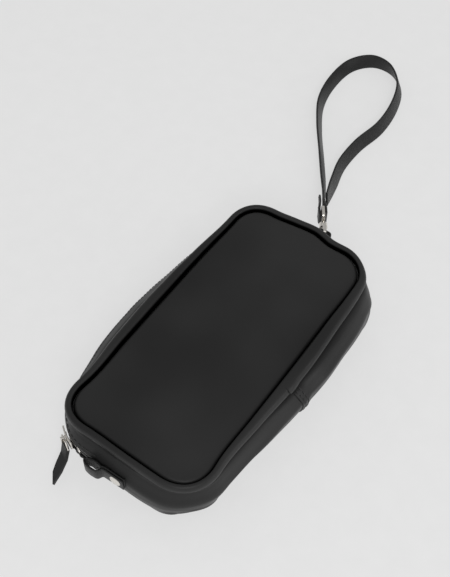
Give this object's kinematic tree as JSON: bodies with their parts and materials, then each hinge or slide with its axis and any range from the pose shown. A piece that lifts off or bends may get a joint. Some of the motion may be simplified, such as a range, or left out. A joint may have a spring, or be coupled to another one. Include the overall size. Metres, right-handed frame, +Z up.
{
  "type": "makeup bag",
  "caption": "Small black leather wash bag with rolled seams, a zipped mouth round one side, riveted end loops and a wrist strap on a swivel snap hook.",
  "frame": {"origin": "centre of the flat base panel's resting face", "axes": "+Z up, +Y along the bag towards the strap end, -X towards the zipped side"},
  "size_m": [0.1654, 0.4982, 0.0541],
  "materials": {
    "leather": "matte waxed grain, black",
    "strap_leather": "smooth black face, rough back",
    "zip_tape": "woven black polyester tape",
    "binding": "woven black binding",
    "thread": "black bonded thread",
    "zip_metal": "nickel plated",
    "nickel": "polished nickel plate"
  },
  "bodies": {
    "bag": {"gusset_near": "leather", "gusset_far": "leather", "zip_strip_lower": "leather", "top_panel": "leather", "bottom_panel": "leather", "seam_binding_top": "binding", "seam_binding_base": "binding", "zipper_tape_lower": "zip_tape", "zipper_teeth_lower": "zip_metal", "zipper_top_stop_lower": "zip_metal", "zipper_bottom_stop": "zip_metal", "gusset_lap_stitches": "thread", "near_loop_tab": "leather", "near_rivet": "nickel", "far_loop_tab": "leather", "far_rivet": "nickel"},
    "mouth_flap": {"top_panel_flap": "leather", "zip_strip_upper": "leather", "seam_binding_flap": "binding", "zipper_tape_upper": "zip_tape", "zipper_teeth_upper": "zip_metal", "zipper_top_stop_upper": "zip_metal"},
    "slider": {"slider_body": "nickel", "slider_bail": "nickel"},
    "puller": {"puller_link": "nickel", "leather_puller": "strap_leather"},
    "hook": {"hook_body": "nickel", "gate_pin": "nickel"},
    "gate": {"hook_gate": "nickel"},
    "eye": {"swivel_eye": "nickel"},
    "strap": {"wrist_strap": "strap_leather", "strap_stitches": "thread"}
  },
  "joints": [
    {"name": "mouth_open", "type": "hinge", "parent": "bag", "child": "mouth_flap", "pos_m": [-0.018, 0, 0.0542], "axis": [0, 1, 0], "range_deg": [0, 50]},
    {"name": "zip_slide", "type": "hinge", "parent": "bag", "child": "slider", "pos_m": [-0.0305, -0.088, 0.0273], "axis": [0, 0, -1], "range_deg": [0, 49]},
    {"name": "puller_swing", "type": "hinge", "parent": "slider", "child": "puller", "pos_m": [-0.04766, -0.12027, 0.0273], "axis": [-0.8829, 0.4695, 0], "range_deg": [0, 110]},
    {"name": "hook_swing", "type": "hinge", "parent": "bag", "child": "hook", "pos_m": [0.0022, 0.1306, 0.0256], "axis": [0, 0, 1], "range_deg": [-18, 18]},
    {"name": "gate_press", "type": "hinge", "parent": "hook", "child": "gate", "pos_m": [-0.00296, 0.13797, 0.0184], "axis": [-0.8192, -0.5736, 0], "range_deg": [0, 25], "stiffness_Nm_per_rad": 0.004, "springref_deg": -20.05},
    {"name": "eye_swivel", "type": "hinge", "parent": "hook", "child": "eye", "pos_m": [-0.00468, 0.14043, 0.0256], "axis": [-0.5736, 0.8192, 0], "range_deg": [-60, 0]},
    {"name": "strap_swing", "type": "hinge", "parent": "eye", "child": "strap", "pos_m": [-0.01243, 0.15149, 0.0256], "axis": [0, 0, 1], "range_deg": [-18, 18]}
  ]
}
